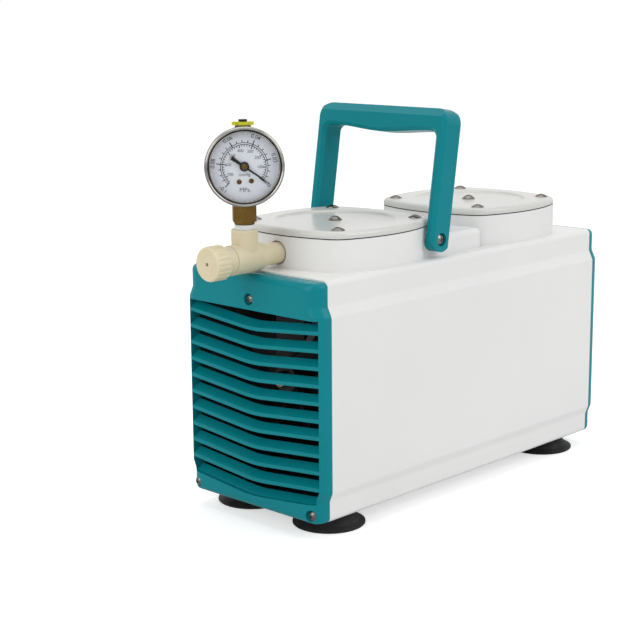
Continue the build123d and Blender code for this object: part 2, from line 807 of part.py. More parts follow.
def coolingFan(end):
    """Axial fan on the end of the shaft."""
    hub = rodX(fanX, fanX + fanWidth, fanHubRadius, 0, shaftZ)
    hub = fillet(hub.faces().sort_by(Axis.X)[-1].edges(), 3.0)
    fan = hub
    for index in range(fanBlades):
        paddle = Pos(fanX + fanWidth / 2, 0, (fanHubRadius + fanRadius) / 2 - 1) * Rot(0, 0, 38)
        paddle = paddle * Box(1.8, 20, fanRadius - fanHubRadius + 2)
        fan += Pos(0, 0, shaftZ) * Rot(360.0 / fanBlades * index, 0, 0) * paddle
    reach = rodX(fanX - 1, fanX + fanWidth + 1, fanRadius, 0, shaftZ)
    fan = (fan & reach) - rodX(fanX - 2, fanX + fanWidth + 2, shaftRadius, 0, shaftZ)
    return fan if end > 0 else Rot(0, 0, 180) * fan


def runCapacitor():
    """Flat run capacitor on the floor beside the motor."""
    near = cradleHalfWidth + 5
    top = floorThickness + capacitorHeight
    case = block(-capacitorLength / 2, capacitorLength / 2, near, near + capacitorDepth, floorThickness, top)
    case = fillet(case.edges().filter_by(Axis.Z), 2.0)
    for side in (-1, 1):
        case += Pos(side * 13, near + capacitorDepth / 2, top) * Box(6, 6, 8, align=rising)
    return case


def rubberFoot(x, y):
    """Wide rubber foot, dished underneath, flared at its rim."""
    outer = [
        (footScrewRadius + threadFit, 0),
        (footTopRadius, 0),
        (footTopRadius + 2.0, -3.0),
        (footRadius - 4.0, -8.4),
        (footRadius, -footHeight + 1.6),
        (footRadius, -footHeight + 0.6),
        (footRadius - 0.6, -footHeight),
        (footRadius - 9.0, -footHeight),
        (footRadius - 12.0, -footHeight + 2.4),
        (7.0, -footHeight + 2.4),
        (7.0, -4.6),
        (footScrewRadius + threadFit, -4.6),
    ]
    profile = make_face(Polyline(*[(r, 0, z) for r, z in outer], close=True))
    return Pos(x, y, 0) * revolve(profile, axis=Axis.Z)


def footScrews():
    """Screws that hold the feet, heads sunk in the rubber."""
    screws = []
    for x, y in footPlaces():
        shank = rodZ(-4.6, 9.6, footScrewRadius, x, y)
        screws.append(shank + rodZ(-7.4, -4.6, 4.6, x, y))
    return Compound(children=screws)


def grilleScrews():
    """Six screws that hold the two grille covers."""
    screws = []
    seat = bodyEnd + coverDepth - grilleCounterDepth
    for y, z in grillePlaces():
        screw = rodX(bodyEnd - 13, seat, grilleScrewRadius, y, z)
        head = Pos(seat, y, z) * Rot(0, 90, 0) * crossedHead(grilleScrewHead, grilleScrewDome, 1.7)
        screws.append(screw + head)
        screws.append(Rot(0, 0, 180) * (screw + head))
    return Compound(children=screws)


def handleOutline():
    """Side-to-side view of the bail: two arms and a grip with a swollen underside."""
    outer = handleHalfSpan
    inner = handleHalfSpan - armThickness
    top = handleReach
    under = handleReach - gripDepth
    corner = handleCorner
    small = handleInnerCorner
    diagonal = corner * (1 - math.sqrt(0.5))
    inset = small * (1 - math.sqrt(0.5))
    foot = footLift - armWidth / 2
    edges = [
        Line((-outer, foot), (-outer, top - corner)),
        ThreePointArc((-outer, top - corner), (-outer + diagonal, top - diagonal), (-outer + corner, top)),
        Line((-outer + corner, top), (outer - corner, top)),
        ThreePointArc((outer - corner, top), (outer - diagonal, top - diagonal), (outer, top - corner)),
        Line((outer, top - corner), (outer, foot)),
        Line((outer, foot), (inner, foot)),
        Line((inner, foot), (inner, under - small)),
        ThreePointArc((inner, under - small), (inner - inset, under - inset), (inner - small, under)),
        Spline([(inner - small, under), (0, under - gripBelly), (-inner + small, under)],
               tangents=[(-1, 0), (-1, 0)]),
        ThreePointArc((-inner + small, under), (-inner + inset, under - inset), (-inner, under - small)),
        Line((-inner, under - small), (-inner, foot)),
        Line((-inner, foot), (-outer, foot)),
    ]
    return make_face(edges)


def handle():
    """Bail handle with bevelled edges and round arm ends, leaning to the rear."""
    half = armWidth / 2
    bail = extrude(Plane.YZ.offset(-half) * handleOutline(), amount=armWidth)
    rims = [e for face in (0, -1) for e in bail.faces().sort_by(Axis.X)[face].edges() if e.center().Z > 0]
    bail = chamfer(rims, armBevel)
    for side in (-1, 1):
        wedge = Polyline(
            (side * half, 0, handleReach - gripBevel),
            (side * (half - gripBevel), 0, handleReach),
            (side * half, 0, handleReach),
            close=True,
        )
        prism = extrude(make_face(wedge), amount=handleHalfSpan, both=True)
        bail -= prism
    reach = handleHalfSpan + 1
    tips = block(-half - 1, half + 1, -reach, reach, -half - 1, footLift)
    tips -= rodY(-reach - 1, reach + 1, half, 0, footLift)
    bail -= tips
    bail -= rodY(-reach, reach, pivotScrewRadius + runningFit)
    for side in (-1, 1):
        seat = side * (handleHalfSpan - pivotHeadRecess)
        face = side * (handleHalfSpan + 1)
        bail -= rodY(min(seat, face), max(seat, face), pivotScrewHead + 0.5)
    return Pos(pivotX, 0, pivotZ) * Rot(0, handleLean, 0) * bail


def handleScrews():
    """Shoulder screws on which the handle swings."""
    screws = []
    for side in (-1, 1):
        tip = side * (padFace - pivotScrewDepth + 0.5)
        seat = side * (handleHalfSpan - pivotHeadRecess + movingGap)
        screw = rodY(min(tip, seat), max(tip, seat), pivotScrewRadius, pivotX, pivotZ)
        turn = 90 if side < 0 else -90
        head = Pos(pivotX, seat, pivotZ) * Rot(turn, 0, 0) * crossedHead(pivotScrewHead, pivotScrewDome, 2.0)
        screws.append(screw + head)
    return Compound(children=screws)


def teeFitting():
    """Nylon tee: spigot in the front tower, branch up to the gauge, seat for the regulator."""
    face = towerFace
    shoulder = teeX + branchRadius
    neck = face - spigotLength
    tee = rodX(teeEndX + 8, shoulder, teeRadius, 0, teeZ)
    tee += rodX(teeEndX, teeEndX + 9, teeNeckRadius, 0, teeZ)
    tee += Pos(shoulder, 0, teeZ) * Rot(0, 90, 0) * Cone(teeRadius, spigotRadius, neck - shoulder, align=rising)
    tee += rodX(neck, face + portRecess - 1, spigotRadius, 0, teeZ)
    tee += rodX(face + 2, face + 10, spigotRadius - 1, 0, teeZ)
    tee += rodZ(teeZ, branchTopZ, branchRadius, teeX)
    tee = fillet(tee.edges().filter_by(GeomType.CIRCLE).sort_by(Axis.Z)[-1], 0.8)
    tee -= rodX(teeEndX - 1, face + 11, stemRadius + 0.4, 0, teeZ)
    tee -= rodZ(teeZ, branchTopZ + 1, 5.0, teeX)
    return tee


def regulatorKnob():
    """Nylon knob with faint flutes and a small air hole in its rounded end."""
    high = teeEndX - movingGap
    low = high - knobLength
    knob = rodX(low, high, knobRadius, 0, teeZ)
    knob = fillet(knob.faces().sort_by(Axis.X)[0].edges(), knobRound)
    for index in range(knobFlutes):
        angle = 360.0 / knobFlutes * index
        flute = rodX(low - 1, high + 1, fluteRadius, 0, knobRadius + fluteRadius - fluteDepth)
        knob -= Pos(0, 0, teeZ) * Rot(angle, 0, 0) * flute
    knob -= rodX(low - 1, low + 4, 1.3, 0, teeZ)
    knob -= rodX(low + 3.9, high + 1, stemRadius + runningFit, 0, teeZ)
    return knob


def regulatorStem():
    """Threaded stem behind the knob; it moves in and out as the knob turns."""
    tip = teeEndX + 16
    stem = rodX(teeEndX - movingGap - knobLength + 4.2, tip, stemRadius, 0, teeZ)
    return stem + Pos(tip, 0, teeZ) * Rot(0, 90, 0) * Cone(stemRadius, 0.8, 5, align=rising)


def gaugePlane():
    """Plane of the gauge: origin on the stem's axis, normal out of the dial."""
    heading = math.radians(gaugeTurn)
    normal = (math.sin(heading), -math.cos(heading), 0)
    right = (math.cos(heading), math.sin(heading), 0)
    return Plane(origin=(teeX, 0, gaugeZ), x_dir=right, z_dir=normal)


def gaugeCase():
    """Pressed steel case, open at the front."""
    half = caseDepth / 2
    case = Pos(0, 0, -half) * Cylinder(caseRadius, caseDepth - bezelDepth, align=rising)
    case = fillet(case.faces().sort_by(Axis.Z)[0].edges(), 2.5)
    case -= Pos(0, 0, -half + caseWall) * Cylinder(caseRadius - caseWall, caseDepth, align=rising)
    case = gaugePlane() * case
    case -= rodZ(socketTopZ - 1, gaugeZ, socketNeckRadius + looseFit, teeX)
    case -= rodZ(gaugeZ, gaugeZ + caseRadius + 2, ventRadius + threadFit, teeX)
    return case


def gaugeBezel():
    """Bright ring that holds the lens."""
    half = caseDepth / 2
    ring = Pos(0, 0, half - bezelDepth) * Cylinder(gaugeRadius, bezelDepth, align=rising)
    ring = fillet(ring.faces().sort_by(Axis.Z)[-1].edges(), 1.6)
    ring -= Pos(0, 0, half - bezelDepth - 1) * Cylinder(dialRadius + 0.6, bezelDepth - 0.6, align=rising)
    ring -= Pos(0, 0, half - 3) * Cylinder(dialRadius - 0.8, 4, align=rising)
    return gaugePlane() * ring


def gaugeLens():
    """Flat glass lens behind the bezel's lip."""
    front = caseDepth / 2 - 1.6
    lens = Pos(0, 0, front - lensThickness) * Cylinder(dialRadius + 0.5, lensThickness, align=rising)
    return gaugePlane() * lens


def gaugeDial():
    """Printed dial on the movement."""
    back = caseDepth / 2 - bezelDepth - 0.8
    dial = Pos(0, 0, back) * Cylinder(dialRadius - 0.2, dialThickness, align=rising)
    dial -= Pos(0, 0, back - 1) * Cylinder(1.2, 4, align=rising)
    return gaugePlane() * dial


def gaugePointer():
    """Needle with a broad tail, on its arbor."""
    back = caseDepth / 2 - bezelDepth - 0.8
    plane = back + dialThickness + 0.5
    needle = Polygon((-pointerTail, 1.1), (-pointerTail, -1.1), (0, -1.0), (pointerLength, -0.2),
                     (pointerLength, 0.2), (0, 1.0), align=None)
    pointer = extrude(Pos(0, 0, plane) * needle, amount=0.6)
    pointer += Pos(0, 0, plane - 0.2) * Cylinder(2.4, 1.4, align=rising)
    pointer += Pos(0, 0, back - 3.0) * Cylinder(0.8, 5, align=rising)
    return gaugePlane() * Rot(0, 0, pointerRest) * pointer


def gaugeMovement():
    """Bourdon tube, movement plate and arbor bearing on the socket."""
    back = caseDepth / 2 - bezelDepth - 0.8
    plate = Pos(0, 0, back - 1.5) * Cylinder(9.0, 1.5, align=rising)
    plate += Pos(0, 0, back - 4.0) * Cylinder(2.6, 3, align=rising)
    plate -= Pos(0, 0, back - 5.0) * Cylinder(0.8 + runningFit, 7, align=rising)
    tube = Cylinder(19.5, 4.0) - Cylinder(17.3, 5.0)
    tube -= Pos(10, -16, 0) * Box(20, 26, 6)
    plate += Pos(0, 0, -5) * tube
    post = Pos(0, -14, -4.2) * Box(7, 14, 7)
    bridge = Pos(0, -7.2, 1.2) * Box(6, 11, 5.6)
    return gaugePlane() * (plate + post + bridge)


def gaugeSocket():
    """Brass socket: block in the case, hexagon, collar and thread into the tee."""
    hexagon = RegularPolygon(socketFlats / 2, 6, major_radius=False, rotation=gaugeTurn + 30)
    brass = extrude(Pos(teeX, 0, socketHexZ) * hexagon, amount=socketTopZ - 0.4 - socketHexZ)
    collar = rodZ(collarZ, socketHexZ, collarRadius, teeX)
    brass += fillet(collar.faces().sort_by(Axis.Z)[0].edges(), 1.0)
    brass += rodZ(branchTopZ - 9, collarZ, 5.0 - threadFit, teeX)
    brass += rodZ(socketHexZ, gaugeZ - 21.6, socketNeckRadius, teeX)
    brass -= rodZ(branchTopZ - 10, gaugeZ - 23, 1.5, teeX)
    return brass


def ventPlug():
    """Black vent plug on top of the gauge case."""
    base = gaugeZ + caseRadius - 0.6
    plug = rodZ(base - 1.0, base + 0.6, ventRadius, teeX)
    plug += Pos(teeX, 0, base + 0.6) * Rot(0, 0, gaugeTurn) * Cylinder(5.4, 1.6, align=rising)
    plug += rodZ(base + 2.2, base + ventHeight, ventRadius - 0.6, teeX)
    plug += rodZ(base + ventHeight - 1.3, base + ventHeight, ventRadius, teeX)
    return plug


def ventLever():
    """Yellow wing lever that opens the vent."""
    low = gaugeZ + caseRadius - 0.6 + 2.2 + movingGap
    high = gaugeZ + caseRadius - 0.6 + ventHeight - 1.3 - movingGap
    wings = Pos(0, 0, low) * Box(leverSpan, 3.4, high - low, align=rising)
    wings = fillet(wings.edges().filter_by(Axis.Z), 1.4)
    wings += Pos(0, 0, low) * Cylinder(ventRadius + 0.8, high - low, align=rising)
    wings -= Pos(0, 0, low - 1) * Cylinder(ventRadius - 0.6 + runningFit, 5, align=rising)
    return Pos(teeX, 0, 0) * Rot(0, 0, gaugeTurn) * wings


def hoseBarb(start, length, x, z):
    """Hose tail along +Y: a plain stretch at its root, then three ridges of the same radius."""
    plain = length * 0.45
    tail = rodY(start, start + plain, nozzleRadius, x, z)
    ridge = (length - plain) / 3
    for index in range(3):
        foot = start + plain + index * ridge
        cone = Cone(nozzleRadius, barbRoot, ridge, align=rising)
        tail += Pos(x, foot, z) * Rot(-90, 0, 0) * cone
    return tail


def suctionNozzle():
    """Inlet nozzle on the hidden side of the front head."""
    x = -headX
    nozzle = rodY(towerSide - 8, towerSide, nozzleRadius + 1, x, nozzleZ)
    nozzle += hexY(towerSide, towerSide + 5, nozzleFlats, x, nozzleZ)
    nozzle += hoseBarb(towerSide + 5, nozzleLength - 5, x, nozzleZ)
    return nozzle - rodY(towerSide - 9, towerSide + nozzleLength + 1, nozzleBore, x, nozzleZ)


def exhaustSilencer():
    """Sintered silencer on the outlet of the rear head."""
    x = headX
    silencer = rodY(towerSide - 8, towerSide, nozzleRadius + 1, x, nozzleZ)
    silencer += hexY(towerSide, towerSide + 5, nozzleFlats, x, nozzleZ)
    silencer += rodY(towerSide + 5, towerSide + nozzleLength - 3, silencerRadius - 1.5, x, nozzleZ)
    crown = rodY(towerSide + nozzleLength - 3, towerSide + nozzleLength, silencerRadius - 1.5, x, nozzleZ)
    silencer += fillet(crown.faces().sort_by(Axis.Y)[-1].edges(), 1.8)
    return silencer - rodY(towerSide - 9, towerSide + 8, nozzleBore, x, nozzleZ)


def cableGland():
    """Gland for the mains lead, on the rear cover."""
    face = bodyEnd + coverDepth
    gland = rodX(face - 8, face, 6.2 - looseFit, glandY, panelZ)
    gland += hexX(face, face + 5, glandFlats, glandY, panelZ)
    gland += rodX(face + 5, face + 11, glandFlats / 2 - 1, glandY, panelZ)
    gland = fillet(gland.faces().sort_by(Axis.X)[-1].edges(), 2.0)
    return gland - rodX(face - 9, face + 12, glandBore, glandY, panelZ)


def switchFrame():
    """Frame of the mains rocker switch, snapped into the rear cover."""
    face = bodyEnd + coverDepth
    frame = block(face, face + 1.8, switchY - switchWidth / 2, switchY + switchWidth / 2,
                  panelZ - switchHeight / 2, panelZ + switchHeight / 2)
    frame = fillet(frame.edges().filter_by(Axis.X), 1.5)
    frame += block(face - 14, face, switchY - 9.4, switchY + 9.4, panelZ - 6.4, panelZ + 6.4)
    frame -= block(face - 9, face + 3, switchY - rockerWidth / 2 - rockerGap, switchY + rockerWidth / 2 + rockerGap,
                   panelZ - rockerHeight / 2 - rockerGap, panelZ + rockerHeight / 2 + rockerGap)
    reach = rockerHeight / 2 + rockerGap + 0.9
    return frame - rodZ(panelZ - reach, panelZ + reach, rockerPin + runningFit, face - rockerSet, switchY)


def powerRocker():
    """Rocker of the mains switch, resting in its off position."""
    face = bodyEnd + coverDepth
    half = rockerWidth / 2
    lift = half * math.tan(math.radians(rockerAngle / 2))
    points = [
        (face - 2, switchY - half),
        (face + 1.2 - lift, switchY - half),
        (face + 2.0, switchY),
        (face + 1.2 + 2.4 * lift, switchY + half),
        (face - 2, switchY + half),
    ]
    low = panelZ - rockerHeight / 2
    rocker = extrude(Pos(0, 0, low) * make_face(Polyline(*points, close=True)), amount=rockerHeight)
    rocker += rodZ(low, low + rockerHeight, rockerPin + 1.2, face - rockerSet, switchY)
    reach = rockerHeight / 2 + rockerGap + 0.4
    return rocker + rodZ(panelZ - reach, panelZ + reach, rockerPin, face - rockerSet, switchY)


def save(name, shape):
    """Write one named sub-part."""
    export_step(shape, f"parts/{name}.step")
    print("wrote", name)


def main():
    os.makedirs("parts", exist_ok=True)
    save("main_housing", mainHousing())
    cover = grilleCover()
    save("front_grille_cover", cover)
    save("rear_grille_cover", rearCover(cover))
    save("grille_cover_screws", grilleScrews())
    names = ["foot_front_right", "foot_front_left", "foot_rear_right", "foot_rear_left"]
    for name, place in zip(names, footPlaces()):
        save(name, rubberFoot(*place))
    save("foot_screws", footScrews())
    heads = {"front": (-headX, crankThrow), "rear": (headX, -crankThrow)}
    for end, (x, lift) in heads.items():
        save(f"head_cover_{end}", headCover(x))
        save(f"head_gasket_{end}", headGasket(x))
        save(f"valve_plate_{end}", valvePlate(x))
        save(f"diaphragm_{end}", diaphragm(x, lift))
        save(f"diaphragm_clamp_{end}", diaphragmClamp(x, lift))
        save(f"connecting_rod_{end}", connectingRod(x, lift))
        save(f"rod_bearing_{end}", rodBearing(x, lift))
        save(f"eccentric_{end}", eccentric(x, lift))
        sign = -1 if x < 0 else 1
        save(f"motor_end_shield_{end}", endShield(sign))
        save(f"cooling_fan_{end}", coolingFan(sign))
    save("head_screws", headScrews())
    save("valve_flaps", valveFlaps())
    save("motor_shaft", motorShaft())
    save("rotor_core", rotorCore())
    save("stator_core", statorCore())
    save("stator_windings", statorWindings())
    save("motor_bearings", shaftBearings())
    save("motor_tie_bolts", tieBolts())
    save("motor_cradle", motorCradle())
    save("run_capacitor", runCapacitor())
    save("carrying_handle", handle())
    save("handle_screws", handleScrews())
    save("tee_fitting", teeFitting())
    save("regulator_knob", regulatorKnob())
    save("regulator_stem", regulatorStem())
    save("gauge_case", gaugeCase())
    save("gauge_bezel", gaugeBezel())
    save("gauge_lens", gaugeLens())
    save("gauge_dial", gaugeDial())
    save("gauge_pointer", gaugePointer())
    save("gauge_movement", gaugeMovement())
    save("gauge_socket", gaugeSocket())
    save("gauge_vent_plug", ventPlug())
    save("gauge_vent_lever", ventLever())
    save("suction_nozzle", suctionNozzle())
    save("exhaust_silencer", exhaustSilencer())
    save("cable_gland", cableGland())
    save("switch_frame", switchFrame())
    save("power_rocker", powerRocker())


main()
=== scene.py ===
import json
import math
import random

import bmesh
import bpy
from mathutils import Matrix, Vector


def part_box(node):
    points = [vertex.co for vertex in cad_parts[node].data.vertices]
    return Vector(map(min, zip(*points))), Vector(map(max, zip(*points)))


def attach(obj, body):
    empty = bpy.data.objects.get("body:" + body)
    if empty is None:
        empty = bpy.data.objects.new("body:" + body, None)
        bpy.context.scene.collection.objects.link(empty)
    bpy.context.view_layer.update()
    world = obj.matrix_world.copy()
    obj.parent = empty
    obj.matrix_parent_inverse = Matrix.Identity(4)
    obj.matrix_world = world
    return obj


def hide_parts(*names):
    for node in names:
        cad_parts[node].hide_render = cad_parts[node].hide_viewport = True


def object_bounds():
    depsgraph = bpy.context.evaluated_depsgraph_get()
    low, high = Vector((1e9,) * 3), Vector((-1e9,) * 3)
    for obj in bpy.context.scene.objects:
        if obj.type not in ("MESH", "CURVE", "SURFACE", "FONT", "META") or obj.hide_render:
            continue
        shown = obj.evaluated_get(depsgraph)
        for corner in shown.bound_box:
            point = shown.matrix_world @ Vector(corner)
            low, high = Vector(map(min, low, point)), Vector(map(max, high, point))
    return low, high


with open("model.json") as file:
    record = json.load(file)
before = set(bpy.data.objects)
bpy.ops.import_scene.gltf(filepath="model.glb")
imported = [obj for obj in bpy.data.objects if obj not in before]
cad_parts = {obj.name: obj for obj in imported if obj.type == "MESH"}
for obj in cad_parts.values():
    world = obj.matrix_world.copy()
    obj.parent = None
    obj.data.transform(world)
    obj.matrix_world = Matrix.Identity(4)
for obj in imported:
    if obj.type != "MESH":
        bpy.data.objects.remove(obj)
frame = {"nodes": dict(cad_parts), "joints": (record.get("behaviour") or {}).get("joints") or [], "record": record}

nodes = frame["nodes"]
joints = {joint["name"]: joint for joint in frame["joints"]}
cadBounds = [list(corner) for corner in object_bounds()]
mm = 0.001
sharpAngles = {"piece": math.radians(35), "node": math.radians(24)}
print("stage: frame loaded,", len(nodes), "nodes")


# small helpers

def linear(red, green, blue):
    # screen colour, 0 to 255, to the linear colour a shader wants
    def one(value):
        value = value / 255
        return value / 12.92 if value <= 0.04045 else ((value + 0.055) / 1.055) ** 2.4
    return (one(red), one(green), one(blue), 1.0)


def meshPiece(name, bm, material, body, smooth=True):
    mesh = bpy.data.meshes.new(name)
    bm.to_mesh(mesh)
    bm.free()
    piece = bpy.data.objects.new(name, mesh)
    bpy.context.scene.collection.objects.link(piece)
    mesh.materials.append(material)
    for polygon in mesh.polygons:
        polygon.use_smooth = smooth
    if smooth:
        mesh.set_sharp_from_angle(angle=sharpAngles["piece"])
    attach(piece, body)
    return piece


# shared surface effects, one node group each

def newGroup(name, inputs, outputs):
    group = bpy.data.node_groups.new(name, "ShaderNodeTree")
    for label, kind, default in inputs:
        socket = group.interface.new_socket(name=label, in_out="INPUT", socket_type=kind)
        socket.default_value = default
    for label, kind in outputs:
        group.interface.new_socket(name=label, in_out="OUTPUT", socket_type=kind)
    groupIn = group.nodes.new("NodeGroupInput")
    groupOut = group.nodes.new("NodeGroupOutput")
    return group, groupIn, groupOut


def makeGrainGroup():
    # two sizes of noise: a broad one for tone and a fine one for relief
    group, groupIn, groupOut = newGroup(
        "surfaceGrain",
        [("Broad Scale", "NodeSocketFloat", 12.0), ("Fine Scale", "NodeSocketFloat", 900.0),
         ("Stretch", "NodeSocketVector", (1.0, 1.0, 1.0))],
        [("Tone", "NodeSocketFloat"), ("Relief", "NodeSocketFloat")],
    )
    links = group.links
    coords = group.nodes.new("ShaderNodeTexCoord")
    mapping = group.nodes.new("ShaderNodeMapping")
    broad = group.nodes.new("ShaderNodeTexNoise")
    fine = group.nodes.new("ShaderNodeTexNoise")
    broad.inputs["Detail"].default_value = 3.0
    fine.inputs["Detail"].default_value = 2.0
    links.new(coords.outputs["Object"], mapping.inputs["Vector"])
    links.new(groupIn.outputs["Stretch"], mapping.inputs["Scale"])
    for noise, label in ((broad, "Broad Scale"), (fine, "Fine Scale")):
        links.new(mapping.outputs["Vector"], noise.inputs["Vector"])
        links.new(groupIn.outputs[label], noise.inputs["Scale"])
    links.new(broad.outputs["Fac"], groupOut.inputs["Tone"])
    links.new(fine.outputs["Fac"], groupOut.inputs["Relief"])
    return group


def makeDustGroup():
    # dust lies on faces that look up, in patches
    group, groupIn, groupOut = newGroup(
        "settledDust",
        [("Amount", "NodeSocketFloat", 0.2), ("Patch Scale", "NodeSocketFloat", 60.0)],
        [("Mask", "NodeSocketFloat")],
    )
    links = group.links
    geometry = group.nodes.new("ShaderNodeNewGeometry")
    split = group.nodes.new("ShaderNodeSeparateXYZ")
    coords = group.nodes.new("ShaderNodeTexCoord")
    patches = group.nodes.new("ShaderNodeTexNoise")
    patches.inputs["Detail"].default_value = 6.0
    upward = group.nodes.new("ShaderNodeMapRange")
    upward.inputs["From Min"].default_value = 0.3
    spread = group.nodes.new("ShaderNodeMapRange")
    spread.inputs["From Min"].default_value = 0.4
    spread.inputs["From Max"].default_value = 0.75
    both = group.nodes.new("ShaderNodeMath")
    both.operation = "MULTIPLY"
    scaled = group.nodes.new("ShaderNodeMath")
    scaled.operation = "MULTIPLY"
    links.new(geometry.outputs["Normal"], split.inputs["Vector"])
    links.new(split.outputs["Z"], upward.inputs["Value"])
    links.new(coords.outputs["Object"], patches.inputs["Vector"])
    links.new(groupIn.outputs["Patch Scale"], patches.inputs["Scale"])
    links.new(patches.outputs["Fac"], spread.inputs["Value"])
    links.new(upward.outputs["Result"], both.inputs[0])
    links.new(spread.outputs["Result"], both.inputs[1])
    links.new(both.outputs["Value"], scaled.inputs[0])
    links.new(groupIn.outputs["Amount"], scaled.inputs[1])
    links.new(scaled.outputs["Value"], groupOut.inputs["Mask"])
    return group


grainGroup = makeGrainGroup()
dustGroup = makeDustGroup()
print("stage: shared effects made")


# materials

def makeMaterial(name, values):
    material = bpy.data.materials.new(name)
    material.use_nodes = True
    tree = material.node_tree
    links = tree.links
    shader = tree.nodes["Principled BSDF"]
    for label, value in values.get("shader", {}).items():
        shader.inputs[label].default_value = value
    grain = tree.nodes.new("ShaderNodeGroup")
    grain.node_tree = grainGroup
    grain.inputs["Broad Scale"].default_value = values["broad"]
    grain.inputs["Fine Scale"].default_value = values["fine"]
    grain.inputs["Stretch"].default_value = values.get("stretch", (1.0, 1.0, 1.0))
    ramp = tree.nodes.new("ShaderNodeValToRGB")
    ramp.color_ramp.elements[0].position = 0.3
    ramp.color_ramp.elements[0].color = values["dark"]
    ramp.color_ramp.elements[1].position = 0.7
    ramp.color_ramp.elements[1].color = values["light"]
    links.new(grain.outputs["Tone"], ramp.inputs["Fac"])
    dust = tree.nodes.new("ShaderNodeGroup")
    dust.node_tree = dustGroup
    dust.inputs["Amount"].default_value = values.get("dust", 0.05)
    dusted = tree.nodes.new("ShaderNodeMix")
    dusted.data_type = "RGBA"
    dusted.inputs["B"].default_value = values.get("dustColour", linear(205, 203, 198))
    links.new(dust.outputs["Mask"], dusted.inputs["Factor"])
    links.new(ramp.outputs["Color"], dusted.inputs["A"])
    links.new(dusted.outputs["Result"], shader.inputs["Base Color"])
    low, high = values["roughness"]
    rough = tree.nodes.new("ShaderNodeMapRange")
    rough.inputs["From Min"].default_value = 0.3
    rough.inputs["From Max"].default_value = 0.7
    rough.inputs["To Min"].default_value = low
    rough.inputs["To Max"].default_value = high
    links.new(grain.outputs["Relief"], rough.inputs["Value"])
    links.new(rough.outputs["Result"], shader.inputs["Roughness"])
    bump = tree.nodes.new("ShaderNodeBump")
    bump.inputs["Strength"].default_value = values.get("bump", 0.1)
    bump.inputs["Distance"].default_value = values.get("relief", 0.05) * mm
    links.new(grain.outputs["Relief"], bump.inputs["Height"])
    links.new(bump.outputs["Normal"], shader.inputs["Normal"])
    return material


